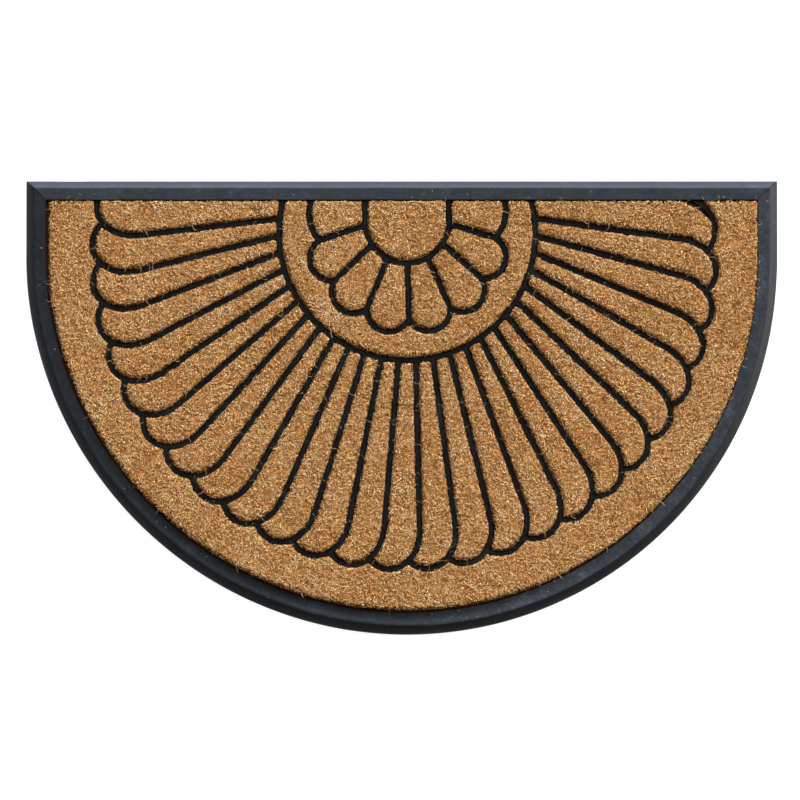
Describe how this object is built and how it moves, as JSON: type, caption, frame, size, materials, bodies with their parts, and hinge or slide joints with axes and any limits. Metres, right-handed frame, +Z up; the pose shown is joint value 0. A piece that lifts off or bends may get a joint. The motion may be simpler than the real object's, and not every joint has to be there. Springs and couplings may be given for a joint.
{
  "type": "half-round doormat",
  "caption": "Half-round doormat: a moulded rubber tray whose raised ribs draw a fan of feathers round a half rosette, with coir brush pads in its cells that scrape shoes clean",
  "frame": {"origin": "on the underside, at the middle of the mat's length and depth", "axes": "+X along the straight edge, +Y from the round edge to the straight edge, +Z up out of the pile"},
  "size_m": [0.762, 0.462, 0.013],
  "materials": {
    "black_rubber": "moulded, satin",
    "coir_brush": "brush pile of coconut fibre"
  },
  "bodies": {
    "root": {"rubber_tray": "black_rubber", "coir_border": "coir_brush", "coir_ring": "coir_brush", "coir_hub": "coir_brush", "coir_petal_01": "coir_brush", "coir_petal_02": "coir_brush", "coir_petal_03": "coir_brush", "coir_petal_04": "coir_brush", "coir_petal_05": "coir_brush", "coir_petal_06": "coir_brush", "coir_petal_07": "coir_brush", "coir_petal_08": "coir_brush", "coir_feather_01": "coir_brush", "coir_feather_02": "coir_brush", "coir_feather_03": "coir_brush", "coir_feather_04": "coir_brush", "coir_feather_05": "coir_brush", "coir_feather_06": "coir_brush", "coir_feather_07": "coir_brush", "coir_feather_08": "coir_brush", "coir_feather_09": "coir_brush", "coir_feather_10": "coir_brush", "coir_feather_11": "coir_brush", "coir_feather_12": "coir_brush", "coir_feather_13": "coir_brush", "coir_feather_14": "coir_brush", "coir_feather_15": "coir_brush", "coir_feather_16": "coir_brush", "coir_feather_17": "coir_brush", "coir_feather_18": "coir_brush", "coir_feather_19": "coir_brush", "coir_feather_20": "coir_brush", "coir_feather_21": "coir_brush", "coir_feather_22": "coir_brush", "coir_feather_23": "coir_brush", "coir_feather_24": "coir_brush", "coir_feather_25": "coir_brush", "coir_feather_26": "coir_brush", "coir_feather_27": "coir_brush"}
  },
  "joints": []
}
